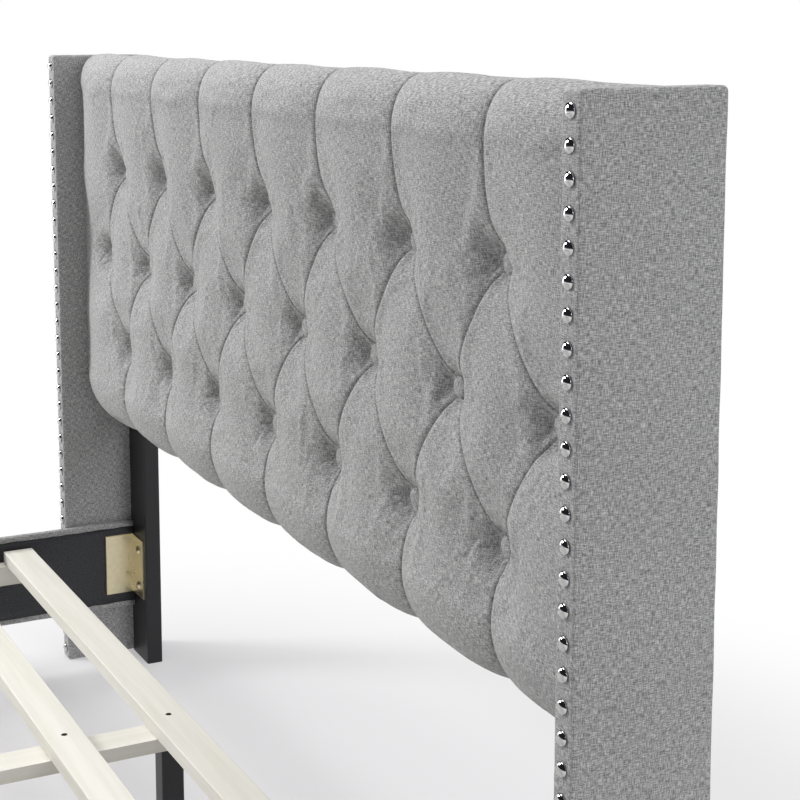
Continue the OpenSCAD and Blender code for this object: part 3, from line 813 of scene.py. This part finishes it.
def padded_board(name, low, high, thin, corner, edge, crown, step, seed):
    """A board wrapped in cloth over thin padding, as rings from one face over the edge to the other.

    thin is the axis of its thickness. Its outline has rounded corners, its faces meet its sides in a
    rounded edge, and crown is how far the middle of each face stands out."""
    low, high = np.array(low), np.array(high)
    u, v = [k for k in range(3) if k != thin]
    middle, half = (low + high) / 2, (high - low) / 2
    counts = (int(2 * half[u] / step), int(2 * half[v] / step), 6)
    arc = np.radians(np.linspace(0, 90, 5))
    levels = [(-half[thin] + edge * (1 - math.sin(a)), edge * (1 - math.cos(a))) for a in arc[::-1]]
    flat = 2 * (half[thin] - edge)
    between = np.linspace(0, 1, max(3, int(flat / (4 * MM))))[1:-1]
    levels += [(-half[thin] + edge + flat * t, 0.0) for t in between]
    levels += [(half[thin] - edge * (1 - math.sin(a)), edge * (1 - math.cos(a))) for a in arc]
    most = min(half[u], half[v])
    inner = [edge + (most - edge) * t for t in np.linspace(0, 1, int((most - edge) / (9 * MM)) + 2)[1:]]
    rise = [crown * (1 - (1 - i / most) ** 4) for i in inner]
    levels = ([(-half[thin] - r, i) for r, i in zip(rise[::-1], inner[::-1])] + levels
              + [(half[thin] + r, i) for r, i in zip(rise, inner)])
    rings = []
    for place, inset in levels:
        loop = outline_loop(half[u] - inset, half[v] - inset, corner - inset * 0.6, counts)
        ring = np.zeros((len(loop), 3))
        ring[:, u], ring[:, v], ring[:, thin] = loop[:, 0], loop[:, 1], place
        rings.append(ring + middle)
    verts = np.concatenate(rings)
    size = len(rings[0])
    faces = grid_faces(len(rings), size, wrap=True)
    mesh = make_mesh(name, verts, faces)
    work = bmesh.new()
    work.from_mesh(mesh)
    bmesh.ops.remove_doubles(work, verts=work.verts, dist=0.45 * MM)
    bmesh.ops.recalc_face_normals(work, faces=work.faces)
    work.to_mesh(mesh)
    work.free()
    unevenness(mesh, seed, 0.2 * MM)
    return link(name, mesh)


def unevenness(mesh, seed, size):
    """Moves the skin in and out a little, as hand-stretched cloth lies, and no further in than size."""
    place = read_points(mesh)
    normal = np.empty(place.size)
    mesh.vertex_normals.foreach_get("vector", normal)
    rng = np.random.default_rng(seed)
    wave = np.zeros(len(place))
    for _ in range(18):
        direction = rng.normal(size=3) * rng.uniform(12, 70)
        wave += np.cos(place @ direction + rng.uniform(0, 6.3))
    write_points(mesh, place + normal.reshape(-1, 3) * np.maximum(wave * size / 3, -size)[:, None])


def press(mesh, places, radius, depth, way):
    """Presses the cloth in round each of the places, along the direction way."""
    at = read_points(mesh)
    move = np.zeros(len(at))
    for place in places:
        away = np.linalg.norm(at - np.array(place), axis=1)
        move = np.maximum(move, depth * np.exp(-(away / radius) ** 2))
    write_points(mesh, at + move[:, None] * np.array(way))


NAIL_GAP = 29.2 * MM                        # from the middle of one nail to the next


def nail_places(side):
    """Where a wing's nails sit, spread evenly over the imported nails' box, with their size."""
    low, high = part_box("wing_nails_" + side)
    across = (low.x + high.x) / 2
    radius = (high.x - low.x) / 2
    count = round((high.z - low.z - 2 * radius) / NAIL_GAP) + 1
    heights = np.linspace(low.z + radius, high.z - radius, count)
    return [Vector((across, high.y, z)) for z in heights], radius, high.y - low.y


def make_wing(side, seed):
    low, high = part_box("wing_cover_" + side)
    wing = padded_board("wing_" + side, low, high, thin=X, corner=5 * MM, edge=3.5 * MM,
                        crown=1.2 * MM, step=5 * MM, seed=seed)
    places, radius, rise = nail_places(side)
    press(wing.data, places, radius=11 * MM, depth=1.1 * MM, way=(0, 1, 0))
    piece(wing, LINEN_FLAT, ["wing_cover_" + side])
    rng = np.random.default_rng(seed)
    matrices = []
    for place in places:
        lean = Euler((rng.uniform(-0.05, 0.05), 0, rng.uniform(-0.05, 0.05))).to_matrix().to_4x4()
        shift = Vector((rng.uniform(-0.3, 0.3) * MM, 0.4 * MM, rng.uniform(-0.3, 0.3) * MM))
        matrices.append(Matrix.Translation(place + shift) @ lean @ Z_TO_FOOT)
    nails = many("nails_" + side, lathe(dome(radius, rise, 10), 32), matrices)
    piece(nails, CHROME, ["wing_nails_" + side])


for seed, side in enumerate(SIDES, 20):
    make_wing(side, seed)


# ---------------------------------------------------------------- rails, footboard and their linings

def wrap_section(outer, inner, bottom, top, lips, radius=4 * MM, fold=1.5 * MM):
    """Outline, in thickness and height, of cloth round a board, ending in two lips on its inner side."""
    way = 1 if outer > inner else -1
    middle = outer - way * radius
    turn = np.radians(np.linspace(0, 90, 6))
    points = [(inner, bottom + lips[0]), (inner, bottom + fold), (inner + way * fold, bottom)]
    points += [(middle + way * radius * math.sin(t), bottom + radius * (1 - math.cos(t))) for t in turn]
    points += [(outer, z) for z in np.linspace(bottom + radius, top - radius, 14)[1:-1]]
    points += [(middle + way * radius * math.cos(t), top - radius * (1 - math.sin(t))) for t in turn]
    return points + [(inner + way * fold, top), (inner, top - fold), (inner, top - lips[1])]


def wrapped_rail(name, node, liner, along, seed):
    """Cover of a rail or of the footboard: cloth round the board, its cut edges on the inner side."""
    low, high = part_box(node)
    liner_low, liner_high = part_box(liner)
    thin = 1 - along
    inner_is_low = abs(liner_low[thin] - low[thin]) < abs(liner_high[thin] - high[thin])
    inner, outer = (low[thin], high[thin]) if inner_is_low else (high[thin], low[thin])
    section = wrap_section(outer, inner, low.z, high.z, (liner_low.z - low.z, high.z - liner_high.z))
    count = int((high[along] - low[along]) / (12 * MM))
    rng = np.random.default_rng(seed)
    rings = []
    for place in np.linspace(low[along], high[along], count):
        ring = np.zeros((len(section), 3))
        ring[:, along] = place
        ring[:, thin] = [t for t, _ in section]
        ring[:, 2] = [z for _, z in section]
        ring[0, 2] += rng.uniform(-0.8, 0.8) * MM
        ring[-1, 2] += rng.uniform(-0.8, 0.8) * MM
        rings.append(ring)
    verts = np.concatenate(rings)
    mesh = make_mesh(name, verts, grid_faces(count, len(section)))
    unevenness(mesh, seed, 0.3 * MM)
    cover = link(name, mesh)
    thicken(cover, 1.5 * MM, towards=Vector([(low[k] + high[k]) / 2 for k in range(3)]))
    piece(cover, LINEN_FLAT, [node])


def lining_sheet(name, node, thin, out, seed, windows=(), thickness=0.6 * MM, step=14 * MM):
    """A lining stretched flat and stapled, with faint ripples; open where a plate goes through."""
    low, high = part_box(node)
    along = 1 - thin
    columns = cuts(low[along], high[along], step, [w[k] for w in windows for k in (0, 1)])
    rows = cuts(low.z, high.z, step, [w[k] for w in windows for k in (2, 3)])
    rng = np.random.default_rng(seed)
    grid_a, grid_z = np.meshgrid(columns, rows)
    face = high[thin] if out > 0 else low[thin]
    edge = np.minimum(np.minimum(grid_a - columns[0], columns[-1] - grid_a),
                      np.minimum(grid_z - rows[0], rows[-1] - grid_z))
    wave = sum(rng.uniform(0.3, 1)
               * np.cos(rng.uniform(-60, 60) * grid_a + rng.uniform(-45, 45) * grid_z + rng.uniform(0, 6))
               for _ in range(8)) / 8
    staples = np.cos(grid_a * 2 * math.pi / (55 * MM)) * np.exp(-np.maximum(edge, 0) / (12 * MM))
    ripple = (0.9 * wave * smoothstep(0, 60 * MM, edge) + 0.35 * staples - 0.5) * MM
    verts = np.zeros(grid_a.shape + (3,))
    verts[..., along], verts[..., 2] = grid_a, grid_z
    verts[..., thin] = face - out * thickness * 0.5 + out * np.clip(ripple, -0.3 * MM, 0.35 * MM)
    faces = grid_faces(len(rows), len(columns))
    centre = verts.reshape(-1, 3)[faces].mean(1)
    keep = np.ones(len(faces), bool)
    for a0, a1, z0, z1 in windows:
        a, z = centre[:, along], centre[:, Z]
        keep &= ~((a > a0) & (a < a1) & (z > z0) & (z < z1))
    sheet = link(name, make_mesh(name, verts.reshape(-1, 3), faces[keep]))
    thicken(sheet, thickness, offset=0)
    piece(sheet, LINING, [node])


def cuts(low, high, step, extra):
    """Even grid lines from low to high, with a line at each extra place."""
    lines = list(np.linspace(low, high, int((high - low) / step) + 1))
    return np.array(sorted(set(lines + [e for e in extra if low < e < high])))


def plate_windows(side):
    """Openings of a rail's lining, one round each of its two corner plates."""
    margin = 1 * MM
    boxes = [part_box("bracket_" + end + "_" + side) for end in ("head", "foot")]
    return [(low.y - margin, high.y + margin, low.z - margin, high.z + margin) for low, high in boxes]


def fold_ends(node):
    """Cloth folded flat over both ends of the footboard."""
    low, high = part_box(node)
    for name, place, way in (("footboard_end_left", low.x, 1), ("footboard_end_right", high.x, -1)):
        sides = sorted((place, place + way * 1.5 * MM))
        end = padded_board(name, (sides[0], low.y, low.z), (sides[1], high.y, high.z), thin=X,
                           corner=4 * MM, edge=0.7 * MM, crown=0.3 * MM, step=8 * MM, seed=70)
        piece(end, LINEN_FLAT)


def staple_rows(name, node, thin, out, inset, gap=58 * MM):
    """Staples round the edge of a lining, a little crooked, as a gun leaves them."""
    low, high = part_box(node)
    along = 1 - thin
    face = high[thin] if out > 0 else low[thin]
    rng = np.random.default_rng(len(name))
    spots = []
    for z in (low.z + inset, high.z - inset):
        spots += [(a, z, 0.0) for a in np.arange(low[along] + 30 * MM, high[along] - 20 * MM, gap)]
    for a in (low[along] + inset, high[along] - inset):
        spots += [(a, z, math.pi / 2) for z in np.arange(low.z + 40 * MM, high.z - 30 * MM, gap)]
    half = np.array([5.0, 0.35, 0.6]) * MM
    corner = np.array([(i, j, k) for i in (-1, 1) for j in (-1, 1) for k in (-1, 1)]) * half
    corner[:, 0] *= np.where(corner[:, 2] > 0, 0.9, 1.0)
    quads = np.array([(0, 1, 3, 2), (4, 6, 7, 5), (0, 4, 5, 1),
                      (2, 3, 7, 6), (0, 2, 6, 4), (1, 5, 7, 3)])
    matrices = []
    for a, z, turn in spots:
        place = Vector((0, 0, z))
        place[along], place[thin] = a, face + out * 0.5 * MM
        flat = Matrix.Rotation(turn + rng.normal(0, 0.12), 4, "XYZ"[thin])
        lay = Matrix.Identity(4) if thin == Y else Matrix.Rotation(math.pi / 2, 4, "Z")
        matrices.append(Matrix.Translation(place) @ flat @ lay @ Z_TO_FOOT)
    wires = many(name, (corner, quads, np.zeros((0, 3), int)), matrices)
    piece(wires, BRIGHT_ZINC)


for seed, side in enumerate(SIDES):
    liner = "rail_liner_" + side
    wrapped_rail("rail_" + side, "rail_cover_" + side, liner, along=Y, seed=40 + seed)
    lining_sheet("rail_lining_" + side, liner, thin=X, out=-1 if side == "right" else 1,
                 seed=50 + seed, windows=plate_windows(side))
wrapped_rail("footboard", "footboard_cover", "footboard_liner", along=X, seed=43)
fold_ends("footboard_cover")
lining_sheet("footboard_lining", "footboard_liner", thin=Y, out=1, seed=60)
lining_sheet("headboard_back_lining", "headboard_back_cover", thin=Y, out=1, seed=61)
staple_rows("staples_headboard", "headboard_back_cover", thin=Y, out=1, inset=12 * MM, gap=46 * MM)
staple_rows("staples_footboard", "footboard_liner", thin=Y, out=1, inset=7 * MM)


# ---------------------------------------------------------------- CAD nodes: better materials

def finish_nodes():
    """Gives each CAD node the procedural material of its slot, with the grain along its length."""
    finishes = {
        "pine": PINE_ACROSS, "lining": LINING, "foam": FOAM, "twine": TWINE, "board": BOARD,
        "frame_timber": FRAME_ACROSS, "black_lacquer": LACQUER, "chrome": CHROME,
        "yellow_zinc": YELLOW_ZINC, "bright_zinc": BRIGHT_ZINC, "dark_screw": DARK_SCREW,
        "upholstery": LINEN_FLAT,
    }
    special = {"centre_beam": PINE_ALONG, "ledger_left": PINE_ALONG, "ledger_right": PINE_ALONG,
               "headboard_uprights": FRAME_UP, "headboard_stile_left": FRAME_UP,
               "headboard_stile_right": FRAME_UP}
    for part in frame["record"]["subparts"]:
        node = frame["nodes"][part["node"]]
        material = special.get(part["node"], finishes[part["material_slot"]])
        node.data.materials.clear()
        node.data.materials.append(material)


finish_nodes()
